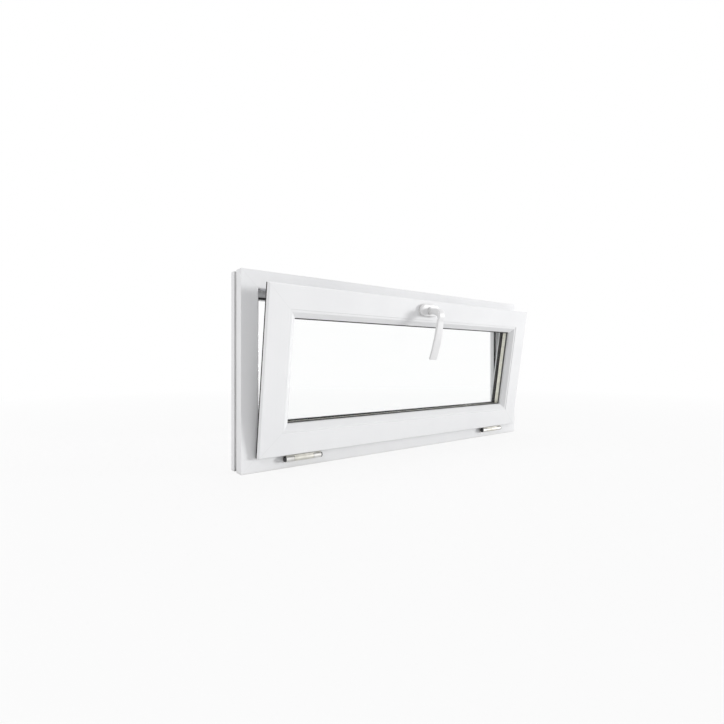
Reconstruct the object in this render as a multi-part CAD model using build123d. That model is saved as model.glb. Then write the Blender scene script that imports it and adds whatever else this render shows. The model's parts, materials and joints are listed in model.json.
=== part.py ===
from build123d import *
import os
from math import asin, cos, degrees, radians, sin

# Bottom-hung hopper window in white plastic profile, its sash tilted into the room.
# X runs along the width, +Y points outdoors, +Z points up. All sizes are millimetres.
# The origin lies on the flat underside of the sill, in the middle of its room-side strip.

# Whole window
window_width = 1000.0
window_height = 450.0
tilt_open = 8.5

# Outer frame profile
frame_depth = 60.0
room_leg = 40.0
outdoor_leg = 60.0
stop_thickness = 14.0
rebate_fall = 4.0
rebate_flat = 32.0
seat_strip = 28.0
groove_width = 14.0
groove_depth = 8.0
groove_lip = 1.6
groove_undercut = 2.0
outer_wall = 2.8
inner_web = 1.5
front_chamber = 6.8
edge_round = 2.5
edge_break = 1.5

# Sash profile and how it sits on the frame
face_overlap = 8.0
hardware_gap = 12.0
closing_gap = 6.5
flange_thickness = 7.5
sash_face = 54.0
lip_thickness = 5.0
track_start = 20.0
track_width = 16.0
track_depth = 3.0
rear_chamber = 10.0

# Glazing bead and sealed unit
bead_height = 18.0
bead_step = 1.5
bead_upright = 5.0
bead_top_flat = 5.5
bead_wall = 1.8
pane_thickness = 4.0
air_gap = 12.0
inner_seal_thickness = 3.0
outer_seal_thickness = 8.0
glass_edge_gap = 5.0
spacer_height = 6.5
sealant_height = 5.5
seal_stand = 1.4

# Rubber seals between sash and frame
seal_foot = 5.0
seal_edge = 0.4
lip_free = 0.4

# Bottom hinges
hinge_length = 100.0
hinge_from_corner = 65.0
hinge_cap = 4.0
side_knuckle = 20.0
knuckle_radius = 6.5
knuckle_play = 0.8
hinge_pin_radius = 3.5
pin_play = 0.06
cap_radius = 6.0
hinge_plate_thickness = 3.0
hinge_plate_low = 14.5
hinge_drop = 9.0
leaf_thickness = 1.5
leaf_web = 7.0

# Tilt stays in the gap under the frame head
stay_length = 180.0
stay_pivot_inset = 30.0
stay_width = 14.0
stay_thickness = 2.5
stay_pin_radius = 3.0
stay_head_radius = 5.0
stay_head_height = 1.0
stay_pin_reach = 7.0
stay_play = 0.8
bracket_length = 46.0
bracket_width = 16.0
bracket_thickness = 2.0
guide_length = 62.0
guide_height = 6.0
guide_slot_play = 1.5

# Locking rail, cams and strikers
rail_end_gap = 30.0
rail_thickness = 2.5
cam_from_end = 43.0
cam_radius = 4.5
cam_height = 9.0
striker_offset = 30.0
striker_length = 30.0
striker_width = 18.0
striker_base = 2.5
striker_lip = 5.5
striker_lip_thickness = 3.0

# Handle
handle_from_edge = 27.0
rose_length = 68.0
rose_height = 32.0
rose_thickness = 11.0
rose_bevel = 1.6
rose_hole_radius = 6.0
spindle_side = 7.0
spindle_reach = 18.0
spindle_hole_radius = 6.5
spindle_hole_depth = 21.0
handle_play = 0.3
collar_radius = 10.5
collar_thickness = 4.0
grip_clear = 46.0
grip_thickness = 7.0
grip_length = 130.0
grip_curl = 12.0
grip_top_width = 21.0
grip_low_width = 27.0
grip_tip_width = 26.0
grip_tip_thickness = 6.0
neck_height = 18.0
neck_fall = 6.0
grip_bevel = 1.5
grip_tip_round = 3.0
neck_reach = 12.0

# Drain caps on the outdoor face of the sill
drain_cap_width = 44.0
drain_cap_height = 14.0
drain_cap_depth = 7.0
drain_cap_wall = 1.6
drain_cap_spacing = 600.0
drain_cap_low = 10.0
drain_slot_length = 28.0
drain_slot_height = 5.0
drain_slot_count = 3

# Depth positions that follow from the sizes above
room_face = -seat_strip / 2
outdoor_face = room_face + frame_depth
stop_face = outdoor_face - stop_thickness
sash_room_face = room_face - closing_gap - flange_thickness
sash_depth = stop_face - closing_gap - sash_room_face

# Sash ring
sash_inset = room_leg - face_overlap
sash_width = window_width - 2 * sash_inset
sash_height = window_height - 2 * sash_inset
sash_body = face_overlap + hardware_gap
sight_line = sash_face + bead_height
glass_edge = sash_face + glass_edge_gap
lip_face = sash_depth - lip_thickness
glass_outer = lip_face - outer_seal_thickness
glass_inner = glass_outer - air_gap - 2 * pane_thickness
bead_back = glass_inner - inner_seal_thickness

# Hinge axis
hinge_y = room_face - hinge_plate_thickness - knuckle_play - knuckle_radius
hinge_z = sash_inset - hinge_drop
hinge_x = sash_width / 2 - hinge_from_corner - hinge_length / 2

# Stay levels and turn
head_rebate = window_height - room_leg
sash_top = window_height - sash_inset - sash_body
track_floor = sash_top - track_depth
stay_top = head_rebate - bracket_thickness - stay_play
stay_low = stay_top - stay_thickness
stay_y = sash_room_face + track_start + track_width / 2
stay_x = window_width / 2 - room_leg - stay_pivot_inset
stay_arm_rise = stay_low - stay_pin_reach / 2 - hinge_z
stay_travel = stay_arm_rise * sin(radians(tilt_open)) + (stay_y - hinge_y) * (1 - cos(radians(tilt_open)))
stay_open = degrees(asin(stay_travel / stay_length))
stay_near = stay_length * cos(radians(stay_open))
guide_x = stay_x - (stay_near + stay_length) / 2

# Lock rail between the two stay guides
rail_length = 2 * (guide_x - guide_length / 2 - rail_end_gap)
cam_x = rail_length / 2 - cam_from_end

# Handle axis
handle_z = window_height - sash_inset - handle_from_edge
rose_front = sash_room_face - rose_thickness


def chamber(u_low, v_low, u_high, v_high):
    """One hollow of a profile, given by its two corners."""
    return Pos((u_low + u_high) / 2, (v_low + v_high) / 2) * Rectangle(u_high - u_low, v_high - v_low)


def rounded(face, points, radius):
    """Round the outline corners of a face that lie on the given points."""
    picked = [v for v in face.vertices() if any((v.center() - Vector(*p)).length < 0.01 for p in points)]
    return fillet(picked, radius)


def frame_section():
    """Frame profile: u is depth from the room face, v runs in from the outer edge."""
    stop_start = frame_depth - stop_thickness
    groove_end = seat_strip + groove_width
    room_corner = (0, room_leg)
    stop_corner = (stop_start, outdoor_leg)
    outer_corner = (frame_depth, outdoor_leg)
    face = Polygon(
        (0, 0),
        (seat_strip, 0),
        (seat_strip, groove_lip),
        (seat_strip - groove_undercut, groove_lip),
        (seat_strip - groove_undercut, groove_depth),
        (groove_end + groove_undercut, groove_depth),
        (groove_end + groove_undercut, groove_lip),
        (groove_end, groove_lip),
        (groove_end, 0),
        (frame_depth, 0),
        outer_corner,
        stop_corner,
        (stop_start, room_leg - rebate_fall),
        (rebate_flat, room_leg),
        room_corner,
        align=None,
    )
    face = rounded(face, [room_corner], edge_round)
    face = rounded(face, [stop_corner, outer_corner], edge_break)
    middle = outer_wall + front_chamber + inner_web
    floor = groove_depth + outer_wall
    low_top = room_leg - rebate_fall - outer_wall
    leg_start = stop_start + outer_wall
    face -= chamber(outer_wall, outer_wall, outer_wall + front_chamber, room_leg - outer_wall)
    face -= chamber(middle, floor, rebate_flat - inner_web, room_leg - outer_wall)
    face -= chamber(rebate_flat, floor, leg_start - inner_web, low_top)
    face -= chamber(leg_start, outer_wall, frame_depth - outer_wall, low_top)
    face -= chamber(leg_start, low_top + inner_web, frame_depth - outer_wall, outdoor_leg - outer_wall)
    return Pos(room_face, 0) * face


def sash_section():
    """Sash profile: u is depth from its room face, v runs in from the flange edge."""
    track_end = track_start + track_width
    room_corner = (0, 0)
    bead_corner = (0, sash_face)
    lip_corners = [(sash_depth, sight_line), (lip_face, sight_line)]
    face = Polygon(
        room_corner,
        (flange_thickness, 0),
        (flange_thickness, sash_body),
        (track_start, sash_body),
        (track_start, sash_body + track_depth),
        (track_end, sash_body + track_depth),
        (track_end, sash_body),
        (sash_depth, sash_body),
        lip_corners[0],
        lip_corners[1],
        (lip_face, sash_face),
        bead_corner,
        align=None,
    )
    face = rounded(face, [room_corner], edge_round + edge_break)
    face = rounded(face, [bead_corner] + lip_corners, edge_break)
    front_end = flange_thickness - outer_wall
    body_low = sash_body + track_depth + outer_wall
    body_high = sash_face - outer_wall
    rear_start = sash_depth - outer_wall - rear_chamber
    face -= chamber(outer_wall, outer_wall + edge_break, front_end, sash_body)
    face -= chamber(outer_wall, sash_body + inner_web, front_end, body_high)
    face -= chamber(front_end + inner_web, body_low, rear_start - inner_web, body_high)
    face -= chamber(rear_start, sash_body + outer_wall, sash_depth - outer_wall, body_high)
    return Pos(sash_room_face, 0) * face


def bead_section():
    """Clip-in glazing bead with a sloping room face, hollow inside."""
    corner = (bead_step, sash_face + bead_upright)
    crest = (bead_back - bead_top_flat, sight_line)
    face = Polygon(
        (bead_step, sash_face),
        corner,
        crest,
        (bead_back, sight_line),
        (bead_back, sash_face),
        align=None,
    )
    face = rounded(face, [corner, crest], edge_round)
    face -= Polygon(
        (bead_step + bead_wall, sash_face + bead_wall),
        (bead_step + bead_wall, corner[1] - bead_wall / 3),
        (crest[0], sight_line - 2 * bead_wall),
        (bead_back - bead_wall, sight_line - 2 * bead_wall),
        (bead_back - bead_wall, sash_face + bead_wall),
        align=None,
    )
    return Pos(sash_room_face, 0) * face


def mitred_bar(section, length, tall):
    """A profile along X from its outer edge at z = 0, cut at 45 degrees at both ends."""
    half = length / 2
    bar = Pos(-half, 0, 0) * extrude(Plane.YZ * section, amount=length, dir=(1, 0, 0))
    ends = Polygon((-half, 0), (half, 0), (half - tall, tall), (tall - half, tall), align=None)
    return bar & extrude(Plane.XZ * ends, amount=2 * frame_depth, both=True)


def four_sides(section, width, height, tall):
    """The four mitred members of a rectangular ring that stands on z = 0."""
    return {
        "bottom": mitred_bar(section, width, tall),
        "top": Pos(0, 0, height) * Rot(0, 180, 0) * mitred_bar(section, width, tall),
        "left": Pos(-width / 2, 0, height / 2) * Rot(0, 90, 0) * mitred_bar(section, height, tall),
        "right": Pos(width / 2, 0, height / 2) * Rot(0, -90, 0) * mitred_bar(section, height, tall),
    }


def ring(section, width, height, tall):
    """The same four members welded into one closed ring."""
    sides = four_sides(section, width, height, tall)
    return sides["bottom"] + sides["left"] + sides["right"] + sides["top"]


def on_sash(piece):
    """Lift a ring made on z = 0 to where the closed sash stands."""
    return Pos(0, 0, sash_inset) * piece


def tilted(piece):
    """Turn a piece of the closed sash about the hinges to the open position."""
    return piece.rotate(Axis((0, hinge_y, hinge_z), (1, 0, 0)), tilt_open)


def frame_seal():
    """Rubber lip on the room side of the outdoor stop."""
    base = stop_face
    top = outdoor_leg - edge_break - seal_edge / 2
    tip = stop_face - closing_gap + lip_free
    section = Polygon(
        (base, top - seal_foot),
        (base, top),
        (base - closing_gap / 2, top - seal_foot / 6),
        (tip, top - seal_foot / 2),
        (base - closing_gap / 2, top - seal_foot * 5 / 6),
        align=None,
    )
    return ring(section, window_width, window_height, outdoor_leg)


def sash_seal():
    """Rubber lip on the back of the sash flange."""
    base = sash_room_face + flange_thickness
    tip = room_face - lip_free
    section = Polygon(
        (base, seal_edge),
        (base, seal_edge + seal_foot),
        (base + closing_gap / 2, seal_edge + seal_foot * 2 / 3),
        (tip, seal_edge + seal_foot / 3),
        (tip, seal_edge),
        align=None,
    )
    return on_sash(ring(section, sash_width, sash_height, sash_body))


def glazing_seal(front, back, low):
    """Rubber strip that fills the gap beside the glass and shows above the sight line."""
    section = Polygon(
        (front, low),
        (back, low),
        (back, sight_line + seal_stand),
        (front, sight_line),
        align=None,
    )
    return on_sash(ring(section, sash_width, sash_height, sight_line + 2 * seal_stand))


def pane(front):
    """One sheet of glass, its room side at the given sash depth."""
    width = sash_width - 2 * glass_edge
    height = sash_height - 2 * glass_edge
    place = Pos(0, sash_room_face + front + pane_thickness / 2, sash_inset + sash_height / 2)
    return place * Box(width, pane_thickness, height)


def edge_ring(low, high):
    """A strip between the two panes, from one inset to another."""
    front = sash_room_face + glass_inner + pane_thickness
    section = Pos((2 * front + air_gap) / 2, (low + high) / 2) * Rectangle(air_gap, high - low)
    return on_sash(ring(section, sash_width, sash_height, high))


def along_x(radius, length):
    """A round bar along X, centred on the hinge axis."""
    return Pos(0, hinge_y, hinge_z) * Rot(0, 90, 0) * Cylinder(radius, length)


def hinge_plate():
    """Frame half of a hinge: a plate on the sill face with a knuckle at each end."""
    half = hinge_length / 2 - hinge_cap
    plate_high = sash_inset - leaf_thickness - knuckle_play
    plate_height = plate_high - hinge_plate_low
    plate_y = room_face - hinge_plate_thickness / 2
    plate = Pos(0, plate_y, hinge_plate_low + plate_height / 2) * Box(
        2 * half, hinge_plate_thickness, plate_height
    )
    plate = chamfer(plate.edges().filter_by(Axis.Y), edge_break)
    web_depth = room_face - hinge_plate_thickness - hinge_y
    web = Pos(0, hinge_y + web_depth / 2, hinge_z) * Box(side_knuckle, web_depth, knuckle_radius)
    knuckle = along_x(knuckle_radius, side_knuckle) + web
    at = half - side_knuckle / 2
    body = plate + Pos(at, 0, 0) * knuckle + Pos(-at, 0, 0) * knuckle
    return body - along_x(hinge_pin_radius + pin_play, hinge_length)


def hinge_leaf():
    """Sash half of a hinge: a leaf under the flange with the middle knuckle."""
    half = hinge_length / 2 - hinge_cap
    knuckle_length = 2 * (half - side_knuckle - knuckle_play)
    leaf = Pos(0, hinge_y, sash_inset - leaf_thickness / 2) * Box(2 * half, leaf_web, leaf_thickness)
    web = Pos(0, hinge_y, hinge_z + hinge_drop / 2) * Box(knuckle_length, leaf_web, hinge_drop)
    body = along_x(knuckle_radius, knuckle_length) + web + leaf
    return body - along_x(hinge_pin_radius + pin_play, hinge_length)


def hinge_pin():
    """Pin through the knuckles, with a round cap on each end."""
    at = hinge_length / 2 - hinge_cap / 2
    cap = along_x(cap_radius, hinge_cap)
    pin = along_x(hinge_pin_radius, hinge_length - hinge_cap) + Pos(at, 0, 0) * cap + Pos(-at, 0, 0) * cap
    by_place = pin.edges().group_by(Axis.X)
    return chamfer(by_place[0] + by_place[-1], edge_break)


def post(radius, low, high):
    """A round upright bar at the origin, between two heights."""
    return Pos(0, 0, (low + high) / 2) * Cylinder(radius, high - low)


def stay_bracket():
    """Plate under the frame head with the rivet that carries a stay."""
    plate = Pos(0, 0, head_rebate - bracket_thickness / 2) * Box(bracket_length, bracket_width, bracket_thickness)
    plate = chamfer(plate.edges().filter_by(Axis.Z), edge_break)
    head_top = stay_low - stay_play / 2
    rivet = post(stay_pin_radius, head_top, head_rebate - bracket_thickness)
    return plate + rivet + post(stay_head_radius, head_top - stay_head_height, head_top)


def stay_arm():
    """Flat arm of a closed stay, from its pivot at the origin along +X."""
    slot = SlotCenterToCenter(stay_length, stay_width)
    bar = Pos(stay_length / 2, 0, stay_low) * extrude(slot, amount=stay_thickness)
    pivot_hole = post(stay_pin_radius + pin_play, stay_low - 1, stay_top + 1)
    return bar - pivot_hole - Pos(stay_length, 0, 0) * pivot_hole


def stay_pin():
    """Headed pin at the free end of a stay, which reaches down into the guide."""
    shank = post(stay_pin_radius, stay_low - stay_pin_reach, stay_top)
    head = post(stay_head_radius, stay_top, stay_top + stay_head_height)
    return Pos(stay_length, 0, 0) * (shank + head)


def stay_guide():
    """Block in the sash track with the slot that a stay pin runs in."""
    middle = stay_x - guide_x
    slot_width = 2 * (stay_pin_radius + guide_slot_play)
    slot = SlotOverall(stay_length - stay_near + slot_width, slot_width)
    block = Pos(middle, 0, track_floor + guide_height / 2) * Box(guide_length, track_width, guide_height)
    block = chamfer(block.edges().filter_by(Axis.Z), edge_break)
    return block - Pos(middle, 0, track_floor + edge_break) * extrude(slot, amount=guide_height)


def left_stay(piece):
    """Place a piece of the closed left stay at its pivot."""
    return Pos(-stay_x, stay_y, 0) * piece


def right_stay(piece):
    """Place the same piece for the right stay, which reaches the other way."""
    return Pos(stay_x, stay_y, 0) * Rot(0, 0, 180) * piece


def opened(piece, pivot_x, side):
    """Swing a closed stay about its pivot to the open position."""
    return piece.rotate(Axis((pivot_x, stay_y, 0), (0, 0, 1)), side * stay_open)


def gear_rail():
    """Sliding lock rail in the track on top of the sash."""
    place = Pos(0, stay_y, track_floor + rail_thickness / 2)
    return place * Box(rail_length, track_width - 2 * pin_play, rail_thickness)


def lock_cam(at):
    """Round cam that stands on the lock rail."""
    low = track_floor + rail_thickness
    return Pos(at, stay_y, 0) * post(cam_radius, low, low + cam_height)


def striker(at):
    """Keep under the frame head, with a lip in front of the cam's path."""
    base = Pos(0, 0, head_rebate - striker_base / 2) * Box(striker_length, striker_width, striker_base)
    lip_y = striker_lip_thickness / 2 - striker_width / 2
    lip = Pos(0, lip_y, head_rebate - striker_lip / 2) * Box(striker_length, striker_lip_thickness, striker_lip)
    return Pos(at, stay_y, 0) * (base + lip)


def handle_rose():
    """Long rounded base of the handle, flat on the top rail."""
    plate = extrude(Plane.XZ * SlotOverall(rose_length, rose_height), amount=rose_thickness)
    plate = chamfer(plate.edges().group_by(Axis.Y)[0], rose_bevel, 2 * rose_bevel)
    hole = Rot(90, 0, 0) * Cylinder(rose_hole_radius, 3 * rose_thickness)
    return Pos(0, sash_room_face, handle_z) * (plate - hole)


def handle_spindle():
    """Square bar that turns with the handle inside the rail."""
    front = rose_front - handle_play
    back = sash_room_face + spindle_reach
    return Pos(0, (front + back) / 2, handle_z) * Box(spindle_side, back - front, spindle_side)


def handle_lever():
    """Neck out of the rose, bent down into a flat grip that curls back at its tip."""
    start = rose_front - handle_play
    grip_in = sash_room_face - grip_clear
    grip_out = grip_in - grip_thickness
    top = handle_z + neck_height / 2
    under = handle_z - neck_height / 2
    elbow = under - neck_fall
    low = handle_z - grip_length
    tip_in = grip_in + grip_curl
    tip_out = tip_in - grip_tip_thickness
    bend = grip_thickness
    edges = [
        Line((start, top), (grip_out + 1.4 * bend, top)),
        RadiusArc((grip_out + 1.4 * bend, top), (grip_out, top - 1.4 * bend), -1.4 * bend),
        Spline((grip_out, top - 1.4 * bend), (tip_out, low), tangents=[(0, -1), (grip_curl, -grip_length / 3)]),
        Line((tip_out, low), (tip_in, low)),
        Spline((tip_in, low), (grip_in, elbow - bend), tangents=[(-grip_curl, grip_length / 3), (0, 1)]),
        RadiusArc((grip_in, elbow - bend), (grip_in + bend, elbow), bend),
        Line((grip_in + bend, elbow), (start, under)),
        Line((start, under), (start, top)),
    ]
    side = make_face(edges)
    body = extrude(Plane.YZ * side, amount=grip_low_width, both=True)
    front = Polygon(
        (-grip_top_width / 2, top),
        (grip_top_width / 2, top),
        (grip_top_width / 2, under),
        (grip_low_width / 2, low + grip_low_width),
        (grip_tip_width / 2, low),
        (-grip_tip_width / 2, low),
        (-grip_low_width / 2, low + grip_low_width),
        (-grip_top_width / 2, under),
        align=None,
    )
    tip_points = [(-grip_tip_width / 2, low), (grip_tip_width / 2, low)]
    front = rounded(front, tip_points, grip_tip_round)
    body = body & extrude(Plane.XZ * front, amount=-2 * sash_room_face + 2 * grip_clear, both=True)
    long_edges = body.edges().filter_by_position(Axis.Y, grip_out - 1, start - neck_reach)
    body = chamfer(long_edges, grip_bevel)
    collar = Rot(90, 0, 0) * Cylinder(collar_radius, collar_thickness)
    return body + Pos(0, start - collar_thickness / 2, handle_z) * collar


def spindle_hole():
    """Drilled hole in the top rail for the spindle."""
    place = Pos(0, sash_room_face + spindle_hole_depth / 2, handle_z)
    return place * Rot(90, 0, 0) * Cylinder(spindle_hole_radius, spindle_hole_depth)


def drain_cap(at):
    """Hood over a drain slot on the outdoor face of the sill, open underneath."""
    outer = Polygon(
        (0, 0),
        (drain_cap_depth, 0),
        (drain_cap_depth, drain_cap_height * 0.55),
        (0, drain_cap_height),
        align=None,
    )
    inner = Polygon(
        (0, -1),
        (drain_cap_depth - drain_cap_wall, -1),
        (drain_cap_depth - drain_cap_wall, drain_cap_height * 0.55 - drain_cap_wall),
        (0, drain_cap_height - 2 * drain_cap_wall),
        align=None,
    )
    hood = extrude(Plane.YZ * outer, amount=drain_cap_width / 2, both=True)
    hood -= extrude(Plane.YZ * inner, amount=drain_cap_width / 2 - drain_cap_wall, both=True)
    return Pos(at, outdoor_face, drain_cap_low) * hood


def drain_slots():
    """Slots through the outdoor wall of the sill behind the caps, and through its rebate floor."""
    slot = Rectangle(drain_slot_length, drain_slot_height)
    through = extrude(Plane.XZ * slot, amount=outer_wall, both=True)
    behind_cap = Pos(0, outdoor_face, drain_cap_low + drain_cap_height / 3) * through
    cutters = [Pos(side * drain_cap_spacing / 2, 0, 0) * behind_cap for side in (-1, 1)]
    floor_y = stop_face - drain_slot_height
    step = drain_cap_spacing / (drain_slot_count - 1)
    for index in range(drain_slot_count):
        at = index * step - drain_cap_spacing / 2
        cutters.append(Pos(at, floor_y, room_leg - rebate_fall) * extrude(slot, amount=2 * outer_wall, both=True))
    return cutters


pieces = {}

# Outer frame
frame_sides = four_sides(frame_section(), window_width, window_height, outdoor_leg)
pieces["frame_head"] = frame_sides["top"]
pieces["frame_sill"] = frame_sides["bottom"] - drain_slots()
pieces["frame_jamb_left"] = frame_sides["left"]
pieces["frame_jamb_right"] = frame_sides["right"]
pieces["frame_seal"] = frame_seal()

# Sash members with the hole for the handle spindle
sash_sides = four_sides(sash_section(), sash_width, sash_height, sight_line)
pieces["sash_top_rail"] = tilted(on_sash(sash_sides["top"]) - spindle_hole())
pieces["sash_bottom_rail"] = tilted(on_sash(sash_sides["bottom"]))
pieces["sash_stile_left"] = tilted(on_sash(sash_sides["left"]))
pieces["sash_stile_right"] = tilted(on_sash(sash_sides["right"]))
pieces["sash_seal"] = tilted(sash_seal())

# Beads, glass and the strips round it
for side, bead in four_sides(bead_section(), sash_width, sash_height, sight_line).items():
    pieces["bead_" + side] = tilted(on_sash(bead))
pieces["inner_pane"] = tilted(pane(glass_inner))
pieces["outer_pane"] = tilted(pane(glass_outer - pane_thickness))
pieces["edge_sealant"] = tilted(edge_ring(glass_edge, glass_edge + sealant_height))
spacer_low = glass_edge + sealant_height
pieces["spacer_bar"] = tilted(edge_ring(spacer_low, spacer_low + spacer_height))
seal_low = sight_line - bead_height / 3
bead_plane = sash_room_face + bead_back
glass_plane = sash_room_face + glass_inner
pieces["glazing_seal_inner"] = tilted(glazing_seal(bead_plane, glass_plane, seal_low))
lip_plane = sash_room_face + lip_face
outer_plane = sash_room_face + glass_outer
pieces["glazing_seal_outer"] = tilted(glazing_seal(lip_plane, outer_plane, glass_edge))

# Hinges, stays, cams and drain caps, one of each on the left and on the right
for side, sign in (("left", -1), ("right", 1)):
    at_hinge = Pos(sign * hinge_x, 0, 0)
    place_stay = left_stay if sign < 0 else right_stay
    pieces["hinge_plate_" + side] = at_hinge * hinge_plate()
    pieces["hinge_pin_" + side] = at_hinge * hinge_pin()
    pieces["hinge_leaf_" + side] = tilted(at_hinge * hinge_leaf())
    pieces["stay_bracket_" + side] = place_stay(stay_bracket())
    pieces["stay_arm_" + side] = opened(place_stay(stay_arm()), sign * stay_x, sign)
    pieces["stay_pin_" + side] = opened(place_stay(stay_pin()), sign * stay_x, sign)
    pieces["stay_guide_" + side] = tilted(place_stay(stay_guide()))
    pieces["lock_cam_" + side] = tilted(lock_cam(sign * cam_x))
    pieces["striker_" + side] = striker(sign * (cam_x + striker_offset))
    pieces["drain_cap_" + side] = drain_cap(sign * drain_cap_spacing / 2)

# Lock rail and handle
pieces["gear_rail"] = tilted(gear_rail())
pieces["handle_rose"] = tilted(handle_rose())
pieces["handle_spindle"] = tilted(handle_spindle())
pieces["handle_lever"] = tilted(handle_lever())

os.makedirs("parts", exist_ok=True)
for name, piece in pieces.items():
    export_step(piece, "parts/" + name + ".step")
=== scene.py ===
import json
import math
import bmesh
import bpy
from mathutils import Matrix, Vector


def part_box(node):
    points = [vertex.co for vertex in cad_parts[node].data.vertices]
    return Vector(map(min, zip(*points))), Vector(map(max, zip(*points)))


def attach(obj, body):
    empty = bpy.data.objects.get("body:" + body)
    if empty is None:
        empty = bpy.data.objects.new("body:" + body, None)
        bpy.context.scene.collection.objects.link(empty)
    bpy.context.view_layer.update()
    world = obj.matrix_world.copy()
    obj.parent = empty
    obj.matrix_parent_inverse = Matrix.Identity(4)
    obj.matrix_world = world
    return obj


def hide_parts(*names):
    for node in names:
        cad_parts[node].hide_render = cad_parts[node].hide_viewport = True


# White plastic hopper window: finishes, handle, screws, weld lines, floor, light and camera.
# Everything is in metres in the frame of the CAD parts. Sash pieces are made on the closed
# sash, whose members stand square, and are then turned about the hinges to where they rest.

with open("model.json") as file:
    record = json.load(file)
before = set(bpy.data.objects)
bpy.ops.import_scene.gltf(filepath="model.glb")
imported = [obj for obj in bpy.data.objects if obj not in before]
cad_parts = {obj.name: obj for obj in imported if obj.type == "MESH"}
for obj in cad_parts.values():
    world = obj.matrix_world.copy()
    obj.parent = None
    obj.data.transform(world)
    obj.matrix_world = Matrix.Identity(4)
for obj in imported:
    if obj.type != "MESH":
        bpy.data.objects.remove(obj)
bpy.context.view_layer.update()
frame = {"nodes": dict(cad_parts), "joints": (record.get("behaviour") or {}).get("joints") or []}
cadNodes = frame["nodes"]
mm = 0.001
print("frame loaded,", len(cadNodes), "nodes")


# the closed sash
tiltJoint = next(joint for joint in frame["joints"] if joint["name"] == "sash_tilt")
hingePoint = Vector(tiltJoint["pos_m"])
openAngle = math.radians(-min(tiltJoint["range_deg"]))
aboutX = Matrix.Rotation(openAngle, 4, "X")
toOpen = Matrix.Translation(hingePoint) @ aboutX @ Matrix.Translation(-hingePoint)
toClosed = toOpen.inverted()


def boxAround(points):
    low = Vector([min(point[axis] for point in points) for axis in range(3)])
    high = Vector([max(point[axis] for point in points) for axis in range(3)])
    return low, high


def restBox(*nodeNames):
    return boxAround([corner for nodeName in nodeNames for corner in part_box(nodeName)])


def closedPoints(nodeName):
    # the corners of a sash part, as they stand with the sash closed
    return [toClosed @ vertex.co for vertex in cadNodes[nodeName].data.vertices]


def closedBox(*nodeNames):
    return boxAround([point for nodeName in nodeNames for point in closedPoints(nodeName)])


# node helpers
def addNode(tree, kind, settings=None, inputs=None):
    node = tree.nodes.new(kind)
    for key, value in (settings or {}).items():
        setattr(node, key, value)
    for key, value in (inputs or {}).items():
        if isinstance(value, bpy.types.NodeSocket):
            tree.links.new(value, node.inputs[key])
        else:
            node.inputs[key].default_value = value
    return node


def rgba(colour):
    return (colour[0], colour[1], colour[2], 1.0)


def startFinish(name):
    finish = bpy.data.materials.new(name)
    finish.use_nodes = True
    tree = finish.node_tree
    return finish, tree, tree.nodes["Principled BSDF"]


# the roughness of every noise, and how much finer detail each kind has
noiseRoughness = 0.55
plainDetail, grainDetail, patchDetail, stainDetail = 1.0, 2.0, 4.0, 5.0


def cloud(tree, featureSize, turn, detail):
    # noise on object coordinates, turned back by the tilt and measured in features of this size
    place = addNode(tree, "ShaderNodeTexCoord").outputs["Object"]
    values = {"Vector": place, "Rotation": (turn, 0.0, 0.0), "Scale": featureSize}
    point = addNode(tree, "ShaderNodeMapping", {"vector_type": "TEXTURE"}, values).outputs["Vector"]
    values = {"Vector": point, "Scale": 1.0, "Detail": detail, "Roughness": noiseRoughness}
    return addNode(tree, "ShaderNodeTexNoise", None, values).outputs["Fac"]


def remap(tree, value, seen, given):
    # the stretch seen of a value's range becomes the stretch given
    values = {
        "Value": value,
        "From Min": seen[0],
        "From Max": seen[1],
        "To Min": given[0],
        "To Max": given[1],
    }
    return addNode(tree, "ShaderNodeMapRange", None, values).outputs["Result"]


def compute(tree, operation, first, second):
    return addNode(tree, "ShaderNodeMath", {"operation": operation}, {0: first, 1: second}).outputs["Value"]


def blendColour(tree, factor, first, second):
    values = {0: factor, 6: first, 7: second}
    return addNode(tree, "ShaderNodeMix", {"data_type": "RGBA"}, values).outputs[2]


masks = {
    "samples": 6,
    "edgeTurn": (0.995, 0.86),  # how far the softened normal leaves the face's own
    "openness": (0.75, 0.25),
}


def edgeMask(tree, radius, strength):
    # full along outer and inner edges, 0 on open faces
    soft = addNode(tree, "ShaderNodeBevel", {"samples": masks["samples"]}, {"Radius": radius}).outputs["Normal"]
    flat = addNode(tree, "ShaderNodeNewGeometry").outputs["Normal"]
    facing = addNode(tree, "ShaderNodeVectorMath", {"operation": "DOT_PRODUCT"}, {0: soft, 1: flat})
    return remap(tree, facing.outputs["Value"], masks["edgeTurn"], (0.0, strength))


def creviceDirtAndShade(tree, reach, strength):
    # full in grooves and inner corners, where dirt settles and shade falls; colours laid through it paint shade
    # there, with dust on the plastics and grime on the handle
    settings = {"samples": masks["samples"]}
    exposed = addNode(tree, "ShaderNodeAmbientOcclusion", settings, {"Distance": reach}).outputs["AO"]
    return remap(tree, exposed, masks["openness"], (0.0, strength))


def setBump(tree, shader, height, strength, distance):
    values = {"Height": height, "Strength": strength, "Distance": distance}
    bump = addNode(tree, "ShaderNodeBump", None, values)
    tree.links.new(bump.outputs["Normal"], shader.inputs["Normal"])


# stretches of a noise's range: its middle, its upper part and its peaks
middle, upper, peaks = (0.3, 0.7), (0.35, 0.7), (0.5, 0.8)

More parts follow.
